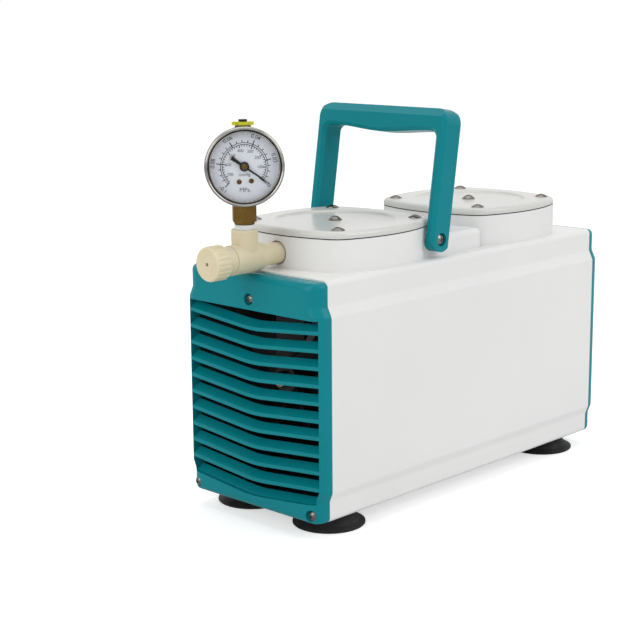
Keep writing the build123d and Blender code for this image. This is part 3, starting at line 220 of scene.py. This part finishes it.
finishes = {
    "white_enamel": {
        "dark": linear(231, 231, 230), "light": linear(235, 235, 234), "broad": 7.0, "fine": 220.0,
        "roughness": (0.24, 0.27), "bump": 0.0, "relief": 0.01, "dust": 0.0,
        "shader": {"Specular IOR Level": 0.45},
    },
    "cover_enamel": {
        "dark": linear(208, 208, 204), "light": linear(213, 213, 209), "broad": 7.0, "fine": 220.0,
        "roughness": (0.24, 0.27), "bump": 0.0, "relief": 0.01, "dust": 0.0,
        "shader": {"Specular IOR Level": 0.45},
    },
    "teal_plastic": {
        "dark": linear(2, 128, 138), "light": linear(5, 134, 144), "broad": 10.0, "fine": 240.0,
        "roughness": (0.2, 0.26), "bump": 0.03, "relief": 0.05, "dust": 0.01,
        "shader": {"Specular IOR Level": 0.14},
    },
    "black_rubber": {
        "dark": linear(18, 18, 20), "light": linear(30, 30, 32), "broad": 70.0, "fine": 1600.0,
        "roughness": (0.5, 0.62), "bump": 0.08, "relief": 0.04, "dust": 0.04,
        "shader": {"Specular IOR Level": 0.25},
    },
    # painted dark reflection: the screws' steel is given a dark base colour to stand in for the dark surroundings
    # it reflects
    "bright_steel": {
        "dark": linear(98, 94, 90), "light": linear(126, 122, 117), "broad": 60.0, "fine": 500.0,
        "roughness": (0.14, 0.2), "bump": 0.02, "relief": 0.02, "dust": 0.01,
        "shader": {"Metallic": 1.0},
    },
    # a lighter copy of the same steel for the bezel, a painted bright reflection
    "bezel_steel": {
        "dark": linear(138, 135, 131), "light": linear(166, 164, 160), "broad": 40.0, "fine": 500.0,
        "roughness": (0.12, 0.18), "bump": 0.0, "relief": 0.01, "dust": 0.0,
        "shader": {"Metallic": 1.0},
    },
    "zinc_steel": {
        "dark": linear(140, 142, 146), "light": linear(176, 178, 180), "broad": 90.0, "fine": 1200.0,
        "roughness": (0.32, 0.5), "bump": 0.15, "relief": 0.03, "dust": 0.1,
        "shader": {"Metallic": 1.0},
    },
    "core_steel": {
        "dark": linear(84, 82, 80), "light": linear(118, 115, 112), "broad": 40.0, "fine": 900.0,
        "roughness": (0.4, 0.6), "bump": 0.3, "relief": 0.1, "dust": 0.1, "stretch": (6.0, 1.0, 1.0),
        "shader": {"Metallic": 1.0},
    },
    "cast_aluminium": {
        "dark": linear(160, 161, 163), "light": linear(192, 193, 195), "broad": 80.0, "fine": 800.0,
        "roughness": (0.38, 0.55), "bump": 0.3, "relief": 0.08, "dust": 0.08,
        "shader": {"Metallic": 1.0},
    },
    "copper_wire": {
        "dark": linear(120, 62, 32), "light": linear(182, 100, 58), "broad": 30.0, "fine": 300.0,
        "roughness": (0.25, 0.45), "bump": 0.5, "relief": 0.3, "dust": 0.08, "stretch": (1.0, 5.0, 5.0),
        "shader": {"Metallic": 1.0},
    },
    "cream_nylon": {
        "dark": linear(211, 200, 168), "light": linear(222, 213, 185), "broad": 30.0, "fine": 300.0,
        "roughness": (0.34, 0.42), "bump": 0.06, "relief": 0.06, "dust": 0.01,
        "shader": {
            "Subsurface Weight": 0.35, "Subsurface Radius": (0.9, 0.7, 0.4), "Subsurface Scale": 0.004,
        },
    },
    "knob_nylon": {
        "dark": linear(214, 202, 166), "light": linear(224, 214, 182), "broad": 30.0, "fine": 300.0,
        "roughness": (0.34, 0.42), "bump": 0.05, "relief": 0.05, "dust": 0.0,
        "shader": {"Subsurface Weight": 0.3, "Subsurface Radius": (0.9, 0.7, 0.4), "Subsurface Scale": 0.003},
    },
    # painted dark reflection: the brass is given a dark base colour to stand in for the dark surroundings it
    # reflects
    "brass_metal": {
        "dark": linear(92, 71, 33), "light": linear(120, 94, 49), "broad": 90.0, "fine": 600.0,
        "roughness": (0.2, 0.28), "bump": 0.03, "relief": 0.03, "dust": 0.01,
        "shader": {"Metallic": 1.0},
    },
    "dial_white": {
        "dark": linear(226, 231, 240), "light": linear(234, 239, 247), "broad": 30.0, "fine": 900.0,
        "roughness": (0.5, 0.6), "bump": 0.02, "relief": 0.02, "dust": 0.0,
    },
    "black_plastic": {
        "dark": linear(16, 16, 17), "light": linear(28, 28, 29), "broad": 60.0, "fine": 1300.0,
        "roughness": (0.32, 0.42), "bump": 0.05, "relief": 0.03, "dust": 0.03,
        "shader": {"Specular IOR Level": 0.3},
    },
    "yellow_plastic": {
        "dark": linear(206, 204, 26), "light": linear(220, 218, 44), "broad": 90.0, "fine": 600.0,
        "roughness": (0.35, 0.5), "bump": 0.15, "relief": 0.03, "dust": 0.02,
    },
    "grey_plastic": {
        "dark": linear(128, 130, 132), "light": linear(146, 148, 150), "broad": 50.0, "fine": 1000.0,
        "roughness": (0.4, 0.55), "bump": 0.2, "relief": 0.04, "dust": 0.1,
    },
    # painted shade for the inside of the housing, seen through the grille gaps
    "inside_painted_shade": {
        "dark": linear(34, 36, 37), "light": linear(44, 46, 48), "broad": 25.0, "fine": 500.0,
        "roughness": (0.6, 0.8), "bump": 0.3, "relief": 0.08, "dust": 0.1,
    },
    "printed_ink": {
        "dark": linear(20, 20, 22), "light": linear(30, 30, 33), "broad": 200.0, "fine": 3000.0,
        "roughness": (0.5, 0.65), "bump": 0.02, "relief": 0.01, "dust": 0.0,
        "shader": {"Specular IOR Level": 0.1},
    },
    # painted dark reflection for the bezel's groove
    "groove_painted_reflection": {
        "dark": linear(38, 36, 35), "light": linear(62, 60, 58), "broad": 120.0, "fine": 900.0,
        "roughness": (0.25, 0.35), "bump": 0.02, "relief": 0.01, "dust": 0.0,
        "shader": {"Metallic": 1.0},
    },
    "sealing_tape": {
        "dark": linear(222, 224, 226), "light": linear(236, 238, 240), "broad": 250.0, "fine": 1200.0,
        "roughness": (0.35, 0.5), "bump": 0.2, "relief": 0.05, "dust": 0.0,
        "shader": {"Subsurface Weight": 0.2, "Subsurface Scale": 0.001},
    },
}


def makeGlass():
    material = bpy.data.materials.new("clearGlass")
    material.use_nodes = True
    tree = material.node_tree
    shader = tree.nodes["Principled BSDF"]
    shader.inputs["Transmission Weight"].default_value = 1.0
    shader.inputs["IOR"].default_value = 1.45
    shader.inputs["Alpha"].default_value = 0.25
    grain = tree.nodes.new("ShaderNodeGroup")
    grain.node_tree = grainGroup
    grain.inputs["Broad Scale"].default_value = 30.0
    grain.inputs["Fine Scale"].default_value = 250.0
    haze = tree.nodes.new("ShaderNodeMapRange")
    haze.inputs["From Min"].default_value = 0.3
    haze.inputs["From Max"].default_value = 0.7
    haze.inputs["To Min"].default_value = 0.0
    haze.inputs["To Max"].default_value = 0.03
    tree.links.new(grain.outputs["Relief"], haze.inputs["Value"])
    tree.links.new(haze.outputs["Result"], shader.inputs["Roughness"])
    return material


materials = {name: makeMaterial(name, values) for name, values in finishes.items()}
materials["clear_glass"] = makeGlass()
print("stage: materials made")


# finish of the CAD nodes

# nodes whose finish differs a little from the rest of their slot
ownFinish = {
    "regulator_knob": "knob_nylon",
    "head_cover_front": "cover_enamel",
    "head_cover_rear": "cover_enamel",
}


def dressNodes():
    slots = {part["node"]: part["material_slot"] for part in frame["record"]["subparts"]}
    for name, node in nodes.items():
        mesh = node.data
        mesh.materials.clear()
        mesh.materials.append(materials[ownFinish.get(name, slots[name])])
        for polygon in mesh.polygons:
            polygon.use_smooth = True
            polygon.material_index = 0
        mesh.set_sharp_from_angle(angle=sharpAngles["node"])


housingInside = {"skin": 2.4 * mm, "outward": 0.2, "endOn": 0.9}


def primeInside():
    # painted shade: the inside faces of the housing get a near-black finish so the gaps behind the grille read
    # dark; only its outside is enamelled
    mesh = nodes["main_housing"].data
    low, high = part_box("front_grille_cover")
    side = high.y - housingInside["skin"]
    top = high.z - housingInside["skin"]
    mesh.materials.append(materials["inside_painted_shade"])
    for polygon in mesh.polygons:
        x, y, z = polygon.center
        if housingInside["skin"] < z < top and abs(y) < side:
            outward = polygon.normal.dot(Vector((0, y, z - top / 2)).normalized())
            if outward < housingInside["outward"] or abs(polygon.normal.x) > housingInside["endOn"]:
                polygon.material_index = 1


dressNodes()
primeInside()
print("stage: CAD nodes dressed")


# gauge dial: scale, numbers and small fittings

gaugeCentre = Vector(joints["pointer_turn"]["pos_m"])
gaugeNormal = Vector(joints["pointer_turn"]["axis"]).normalized()
gaugeRight = Vector((0, 0, 1)).cross(gaugeNormal).normalized()
gaugeUp = gaugeNormal.cross(gaugeRight)


def frontOf(node):
    # how far the node's front reaches along the gauge's axis
    return max((vertex.co - gaugeCentre).dot(gaugeNormal) for vertex in nodes[node].data.vertices)


def gaugeFrame(lift):
    spin = Matrix((gaugeRight, gaugeUp, gaugeNormal)).transposed().to_4x4()
    return Matrix.Translation(gaugeCentre + gaugeNormal * lift) @ spin


bezelRing = {
    "edge": [
        (27.2, -6.0), (27.2, -1.3), (26.95, -0.6), (26.4, -0.12), (25.9, 0.0), (25.45, -0.2), (25.1, -0.75),
    ],
    "groove": [(24.9, -1.25), (24.55, -1.35)],
    "lip": [(24.3, -0.95), (24.0, -0.8), (23.6, -0.95), (23.4, -1.5), (23.4, -2.6)],
    "back": [(24.8, -2.6), (24.8, -6.0)],
    "steps": 120,
}


def makeBezelRing():
    # a rolled rim, a groove and a narrow lip over the lens; the groove's dark finish is a painted dark reflection
    profile = bezelRing["edge"] + bezelRing["groove"] + bezelRing["lip"] + bezelRing["back"]
    # faces of the groove, which take the painted dark reflection
    dark = range(len(bezelRing["edge"]) - 1, len(bezelRing["edge"]) + len(bezelRing["groove"]) - 1)
    steps = bezelRing["steps"]
    bm = bmesh.new()
    rings = []
    for radius, height in profile:
        ring = []
        for index in range(steps):
            angle = 2 * math.pi * index / steps
            spot = Vector((radius * math.cos(angle), radius * math.sin(angle), height))
            ring.append(bm.verts.new(spot * mm))
        rings.append(ring)
    for order, ring in enumerate(rings):
        following = rings[(order + 1) % len(rings)]
        for index in range(steps):
            after = (index + 1) % steps
            face = bm.faces.new([ring[after], ring[index], following[index], following[after]])
            face.material_index = 1 if order in dark else 0
    bmesh.ops.recalc_face_normals(bm, faces=bm.faces)
    bm.transform(gaugeFrame(frontOf("gauge_bezel")))
    rim = meshPiece("bezelRing", bm, materials["bezel_steel"], "housing")
    rim.data.materials.append(materials["groove_painted_reflection"])
    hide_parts("gauge_bezel")
    return rim


dialPrint = {
    "lift": 0.06 * mm,
    "zero": -38.2,           # heading of the zero mark, from the dial's right
    "sweep": 264.7,
    "outerSteps": 20,        # smallest divisions of the outer scale
    "outerRadius": 16.1,
    "outerTick": 1.8,
    "outerLong": 2.9,
    "outerWidths": (0.5, 0.65),   # short and long marks
    "outerNumbers": ["0", "0.02", "0.04", "0.06", "0.08", "-0.1"],
    "outerNumberRadius": 21.2,
    "outerNumberSize": 3.9,
    "arcRadii": (14.9, 16.1),
    "arcWidth": 0.42,
    "innerRadius": 14.9,
    "innerSpan": 750.0,
    "innerStep": 20,
    "innerTick": 1.4,
    "innerLong": 2.2,
    "innerWidths": (0.45, 0.6),
    "innerNumbers": range(100, 800, 100),
    "innerNumberRadius": 10.9,
    "innerNumberSize": 2.9,
    "unitSize": 4.2,
    "unitDrop": 16.0,
    "smallUnitSize": 2.9,
    "smallUnitDrop": 5.7,
}


def dialAngle(share):
    return math.radians(dialPrint["zero"] + dialPrint["sweep"] * share)


def addTick(bm, angle, start, end, width):
    along = Vector((math.cos(angle), math.sin(angle), 0))
    across = Vector((-along.y, along.x, 0)) * width / 2
    corners = [along * start - across, along * end - across, along * end + across, along * start + across]
    bm.faces.new([bm.verts.new(corner * mm) for corner in corners])


def addArc(bm, radius, width, start, end, steps=96):
    previous = None
    for index in range(steps + 1):
        angle = start + (end - start) * index / steps
        along = Vector((math.cos(angle), math.sin(angle), 0))
        pair = [bm.verts.new(along * (radius + side * width / 2) * mm) for side in (-1, 1)]
        if previous:
            bm.faces.new([previous[0], previous[1], pair[1], pair[0]])
        previous = pair


def addWords(bm, words, size, place, turn=0.0):
    curve = bpy.data.curves.new("words", "FONT")
    curve.body = words
    curve.size = size * mm
    curve.align_x = "CENTER"
    curve.align_y = "CENTER"
    curve.resolution_u = 4
    holder = bpy.data.objects.new("words", curve)
    bpy.context.scene.collection.objects.link(holder)
    bpy.context.view_layer.update()
    mesh = bpy.data.meshes.new_from_object(holder)
    move = Matrix.Translation((place[0] * mm, place[1] * mm, 0))
    mesh.transform(move @ Matrix.Rotation(turn, 4, "Z"))
    bm.from_mesh(mesh)
    bpy.data.objects.remove(holder)
    bpy.data.curves.remove(curve)
    bpy.data.meshes.remove(mesh)


def makeDialPrint():
    bm = bmesh.new()
    steps = dialPrint["outerSteps"]
    for index in range(steps + 1):
        long = index % 4 == 0
        reach = dialPrint["outerLong"] if long else dialPrint["outerTick"]
        start = dialPrint["innerRadius"] if long else dialPrint["outerRadius"]
        end = dialPrint["outerRadius"] + reach
        addTick(bm, dialAngle(index / steps), start, end, dialPrint["outerWidths"][long])
    for radius in dialPrint["arcRadii"]:
        addArc(bm, radius, dialPrint["arcWidth"], dialAngle(0), dialAngle(1))
    start = dialPrint["innerRadius"]
    for index in range(int(dialPrint["innerSpan"] // dialPrint["innerStep"]) + 1):
        long = index % 5 == 0
        reach = dialPrint["innerLong"] if long else dialPrint["innerTick"]
        angle = dialAngle(index * dialPrint["innerStep"] / dialPrint["innerSpan"])
        addTick(bm, angle, start - reach, start, dialPrint["innerWidths"][long])
    count = len(dialPrint["outerNumbers"]) - 1
    for index, words in enumerate(dialPrint["outerNumbers"]):
        angle = dialAngle(index / count)
        radius = dialPrint["outerNumberRadius"]
        place = (radius * math.cos(angle), radius * math.sin(angle))
        turn = angle - math.pi / 2 if math.sin(angle) > -0.3 else angle + math.pi / 2
        addWords(bm, words, dialPrint["outerNumberSize"], place, turn)
    for value in dialPrint["innerNumbers"]:
        angle = dialAngle(value / dialPrint["innerSpan"])
        radius = dialPrint["innerNumberRadius"]
        place = (radius * math.cos(angle), radius * math.sin(angle))
        addWords(bm, str(value), dialPrint["innerNumberSize"], place)
    addWords(bm, "MPa", dialPrint["unitSize"], (0, -dialPrint["unitDrop"]))
    addWords(bm, "mmHg", dialPrint["smallUnitSize"], (0, -dialPrint["smallUnitDrop"]))
    bm.transform(gaugeFrame(frontOf("gauge_dial") + dialPrint["lift"]))
    return meshPiece("dialPrint", bm, materials["printed_ink"], "housing", smooth=False)


dialScrews = {
    "places": ((-3.6, -10.4), (4.7, -9.9)),
    "radius": 1.75,
    "height": 0.5,
    "edge": 0.6,       # share of the height below the chamfer
    "crown": 0.75,     # share of the radius left on top
}


def turnedDisc(bm, profile, steps=40):
    # rings of (radius, height) turned about Z, closed at both ends
    rings = []
    for radius, height in profile:
        ring = []
        for index in range(steps):
            angle = 2 * math.pi * index / steps
            ring.append(bm.verts.new((radius * math.cos(angle), radius * math.sin(angle), height)))
        rings.append(ring)
    for low, high in zip(rings, rings[1:]):
        for index in range(steps):
            after = (index + 1) % steps
            bm.faces.new([low[index], low[after], high[after], high[index]])
    bm.faces.new(list(reversed(rings[0])))
    bm.faces.new(rings[-1])


def makeDialScrews():
    bm = bmesh.new()
    radius = dialScrews["radius"]
    height = dialScrews["height"]
    for x, y in dialScrews["places"]:
        part = bmesh.new()
        edge = height * dialScrews["edge"]
        crown = radius * dialScrews["crown"]
        turnedDisc(part, [(radius * mm, 0), (radius * mm, edge * mm), (crown * mm, height * mm)], 20)
        part.transform(Matrix.Translation((x * mm, y * mm, 0)))
        mesh = bpy.data.meshes.new("screwPart")
        part.to_mesh(mesh)
        part.free()
        bm.from_mesh(mesh)
        bpy.data.meshes.remove(mesh)
    bm.transform(gaugeFrame(frontOf("gauge_dial") + 0.02 * mm))
    return meshPiece("dialScrews", bm, materials["brass_metal"], "housing")


pointerCap = {"radius": 2.0, "height": 0.45, "hubRadius": 3.3, "hubHeight": 0.3}


def makePointerCap():
    bm = bmesh.new()
    radius = pointerCap["radius"] * mm
    height = pointerCap["height"] * mm
    turnedDisc(bm, [(radius, -0.05 * mm), (radius, height * 0.6), (radius * 0.7, height)], 28)
    bm.transform(gaugeFrame(frontOf("gauge_pointer") - 0.1 * mm))
    return meshPiece("pointerCap", bm, materials["brass_metal"], "pointer")


def makePointerHub():
    bm = bmesh.new()
    radius = pointerCap["hubRadius"] * mm
    height = pointerCap["hubHeight"] * mm
    turnedDisc(bm, [(radius, -0.3 * mm), (radius, height * 0.5), (radius * 0.93, height)], 40)
    bm.transform(gaugeFrame(frontOf("gauge_pointer") - 0.35 * mm))
    return meshPiece("pointerHub", bm, materials["black_plastic"], "pointer")


pointerHand = {
    "needle": [(0.0, 0.75), (12.0, 0.55), (20.4, 0.2)],     # distance from the hub, half width
    "tail": [(0.0, 0.85), (-4.0, 0.95), (-10.4, 1.35), (-10.9, 1.0)],
    "thickness": 0.4,
}


def makePointerHand():
    # a thin needle and a heavier tail, turned the way the solid pointer lies
    pointer = nodes["gauge_pointer"].data
    tip = max(pointer.vertices, key=lambda vertex: (vertex.co - gaugeCentre).length).co - gaugeCentre
    heading = math.atan2(tip.dot(gaugeUp), tip.dot(gaugeRight))
    top = frontOf("gauge_pointer")
    bm = bmesh.new()
    for outline in (pointerHand["needle"], pointerHand["tail"]):
        loop = outline + [(distance, -half) for distance, half in reversed(outline)]
        lower = [bm.verts.new((x * mm, y * mm, -pointerHand["thickness"] * mm)) for x, y in loop]
        upper = [bm.verts.new((x * mm, y * mm, 0)) for x, y in loop]
        bm.faces.new(upper)
        bm.faces.new(list(reversed(lower)))
        for index in range(len(loop)):
            after = (index + 1) % len(loop)
            bm.faces.new([lower[index], lower[after], upper[after], upper[index]])
    bmesh.ops.recalc_face_normals(bm, faces=bm.faces)
    bm.transform(gaugeFrame(top) @ Matrix.Rotation(heading, 4, "Z"))
    hand = meshPiece("pointerHand", bm, materials["black_plastic"], "pointer")
    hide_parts("gauge_pointer")
    return hand


makeBezelRing()
makeDialPrint()
makeDialScrews()
makePointerHand()
makePointerCap()
makePointerHub()
print("stage: gauge dial printed")


# sealing tape wound on the gauge's thread

sealTape = {
    "radius": 6.9,
    "height": 3.2,
    "turns": 4,
    "wander": 0.28,     # how far the edge of a turn strays from round
    "nip": 0.22,        # how deep the line between two turns is
    "lift": 0.1,
    "steps": 72,
    "seed": 5,
}


def makeSealTape():
    low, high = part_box("gauge_socket")
    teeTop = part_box("tee_fitting")[1].z
    axis = Vector(((low.x + high.x) / 2, (low.y + high.y) / 2, 0))
    collarFoot = teeTop + sealTape["height"] * mm
    chance = random.Random(sealTape["seed"])
    phases = [chance.uniform(0, 2 * math.pi) for _ in range(sealTape["turns"] + 1)]
    bm = bmesh.new()
    rings = []
    count = sealTape["turns"] * 4
    for level in range(count + 1):
        share = level / count
        ring = []
        for index in range(sealTape["steps"]):
            angle = 2 * math.pi * index / sealTape["steps"]
            phase = phases[level // 4]
            wave = math.sin(3 * angle + phase) + 0.6 * math.sin(7 * angle + 2 * phase)
            nip = sealTape["nip"] if level % 4 == 0 else 0
            radius = (sealTape["radius"] + sealTape["wander"] * wave * 0.5 - nip) * mm
            height = teeTop + (collarFoot - teeTop) * share + sealTape["lift"] * mm * math.sin(angle + level)
            spot = Vector((radius * math.cos(angle), radius * math.sin(angle), height))
            ring.append(bm.verts.new(axis + spot))
        rings.append(ring)
    for lower, upper in zip(rings, rings[1:]):
        for index in range(sealTape["steps"]):
            after = (index + 1) % sealTape["steps"]
            bm.faces.new([lower[index], lower[after], upper[after], upper[index]])
    bm.faces.new(list(reversed(rings[0])))
    bm.faces.new(rings[-1])
    return meshPiece("sealTape", bm, materials["sealing_tape"], "housing")


makeSealTape()
print("stage: sealing tape wound")


# floor, backdrop and light

stageValues = {
    "floorSize": 14.0,
    "floorColour": linear(236, 236, 236),
    "floorLift": 0.5,
    "skyFill": 0.5,
}


def makeFloor():
    material = bpy.data.materials.new("paleFloor")
    material.use_nodes = True
    tree = material.node_tree
    shader = tree.nodes["Principled BSDF"]
    shader.inputs["Base Color"].default_value = stageValues["floorColour"]
    shader.inputs["Roughness"].default_value = 0.6
    rays = tree.nodes.new("ShaderNodeLightPath")
    lift = tree.nodes.new("ShaderNodeMath")
    lift.operation = "MULTIPLY"
    lift.inputs[1].default_value = stageValues["floorLift"]
    tree.links.new(rays.outputs["Is Camera Ray"], lift.inputs[0])
    shader.inputs["Emission Color"].default_value = (1, 1, 1, 1)
    tree.links.new(lift.outputs["Value"], shader.inputs["Emission Strength"])
    bm = bmesh.new()
    half = stageValues["floorSize"] / 2
    level = cadBounds[0][2]
    corners = [(-half, -half), (half, -half), (half, half), (-half, half)]
    bm.faces.new([bm.verts.new((x, y, level)) for x, y in corners])
    mesh = bpy.data.meshes.new("paleFloor")
    bm.to_mesh(mesh)
    bm.free()
    floor = bpy.data.objects.new("paleFloor", mesh)
    bpy.context.scene.collection.objects.link(floor)
    mesh.materials.append(material)


def makeWorld():
    world = bpy.data.worlds.new("softStudio")
    bpy.context.scene.world = world
    world.use_nodes = True
    tree = world.node_tree
    background = tree.nodes["Background"]
    rays = tree.nodes.new("ShaderNodeLightPath")
    seen = tree.nodes.new("ShaderNodeMath")
    seen.operation = "MAXIMUM"
    shown = tree.nodes.new("ShaderNodeMath")
    shown.operation = "MAXIMUM"
    level = tree.nodes.new("ShaderNodeMapRange")
    level.inputs["To Min"].default_value = stageValues["skyFill"]
    level.inputs["To Max"].default_value = 1.0
    tree.links.new(rays.outputs["Is Camera Ray"], seen.inputs[0])
    tree.links.new(rays.outputs["Is Glossy Ray"], seen.inputs[1])
    tree.links.new(seen.outputs["Value"], shown.inputs[0])
    tree.links.new(rays.outputs["Is Transmission Ray"], shown.inputs[1])
    tree.links.new(shown.outputs["Value"], level.inputs["Value"])
    tree.links.new(level.outputs["Result"], background.inputs["Strength"])
    background.inputs["Color"].default_value = (1, 1, 1, 1)


lamps = {
    "sideKey": {"place": (0.5, -1.9, 1.3), "size": 1.4, "power": 17.5, "tint": (0.985, 0.985, 1.0)},
    "topSoft": {"place": (0.1, 0.2, 1.9), "size": 1.6, "power": 9.5, "tint": (1.0, 0.99, 0.975)},
    "endFill": {"place": (-1.5, 0.15, 0.75), "size": 1.0, "power": 7.0, "tint": (1.0, 0.98, 0.95)},
}


def makeLamps():
    target = Vector((0, 0, 0.1))
    for name, values in lamps.items():
        light = bpy.data.lights.new(name, "AREA")
        light.shape = "SQUARE"
        light.size = values["size"]
        light.energy = values["power"]
        light.color = values["tint"]
        lamp = bpy.data.objects.new(name, light)
        bpy.context.scene.collection.objects.link(lamp)
        lamp.location = values["place"]
        lamp.rotation_euler = (target - Vector(values["place"])).to_track_quat("-Z", "Y").to_euler()


cameraView = {
    "place": (-0.8883, -0.7577, 0.3575),
    "heading": 43.685,
    "dip": 11.958,
    "roll": -0.41,
    "lens": 86.27,
}


def makeCamera():
    heading = math.radians(cameraView["heading"])
    dip = math.radians(cameraView["dip"])
    roll = math.radians(cameraView["roll"])
    forward = Vector((math.cos(heading) * math.cos(dip), math.sin(heading) * math.cos(dip), -math.sin(dip)))
    level = Vector((math.sin(heading), -math.cos(heading), 0))
    upright = level.cross(forward)
    right = level * math.cos(roll) + upright * math.sin(roll)
    up = upright * math.cos(roll) - level * math.sin(roll)
    data = bpy.data.cameras.new("studioCamera")
    data.lens = cameraView["lens"]
    data.sensor_width = 36.0
    data.clip_start = 0.02
    data.clip_end = 60.0
    camera = bpy.data.objects.new("studioCamera", data)
    bpy.context.scene.collection.objects.link(camera)
    turn = Matrix((right, up, -forward)).transposed().to_4x4()
    camera.matrix_world = Matrix.Translation(cameraView["place"]) @ turn
    bpy.context.scene.camera = camera


makeFloor()
makeWorld()
makeLamps()
makeCamera()
bpy.context.scene.view_settings.view_transform = "Standard"
print("stage: floor, light and camera set")
